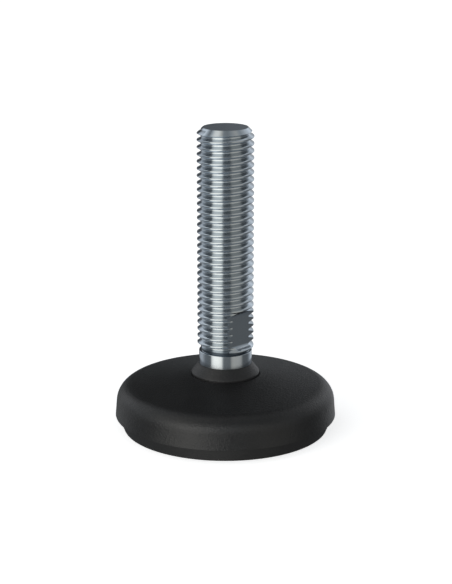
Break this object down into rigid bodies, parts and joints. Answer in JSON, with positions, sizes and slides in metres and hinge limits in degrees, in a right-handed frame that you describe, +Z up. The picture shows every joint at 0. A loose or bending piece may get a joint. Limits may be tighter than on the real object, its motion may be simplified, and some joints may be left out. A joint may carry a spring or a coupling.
{
  "type": "levelling machine foot",
  "caption": "Round plastic levelling foot with a rubber pad and a ball-jointed threaded steel stud with wrench flats, to stand a machine on.",
  "frame": {"origin": "middle of the rubber pad's underside, where the foot stands on the floor", "axes": "+Z up along the stud; +X to the right and +Y away from the viewer in the picture; the wrench flats face 45 degrees to the right of the viewer and the opposite way"},
  "size_m": [0.0788, 0.0788, 0.1083],
  "materials": {
    "stud_steel": "turned steel, zinc plated and blue passivated, bright with fine turning marks",
    "hub_plastic": "moulded black polyamide, fine matte grain",
    "plate_plastic": "moulded black glass-filled polyamide, fine matte grain",
    "washer_steel": "pressed spring steel, zinc plated",
    "screw_steel": "cold-headed steel, zinc plated",
    "pad_rubber": "moulded black nitrile rubber, dull"
  },
  "bodies": {
    "base": {"foot_plate": "plate_plastic", "anti_slip_pad": "pad_rubber"},
    "keeper": {"keeper_washer": "washer_steel"},
    "ball": {"ball_hub": "hub_plastic"},
    "spindle": {"stud": "stud_steel", "retaining_screw": "screw_steel"}
  },
  "joints": [
    {"name": "plate_swivel", "type": "hinge", "parent": "base", "child": "keeper", "pos_m": [0, 0, 0.0201], "axis": [0, 0, 1], "continuous": true},
    {"name": "stud_tilt", "type": "hinge", "parent": "keeper", "child": "ball", "pos_m": [0, 0, 0.0201], "axis": [1, 0, 0], "range_deg": [-7.5, 7.5]},
    {"name": "stud_spin", "type": "hinge", "parent": "ball", "child": "spindle", "pos_m": [0, 0, 0.0201], "axis": [0, 0, 1], "continuous": true}
  ]
}
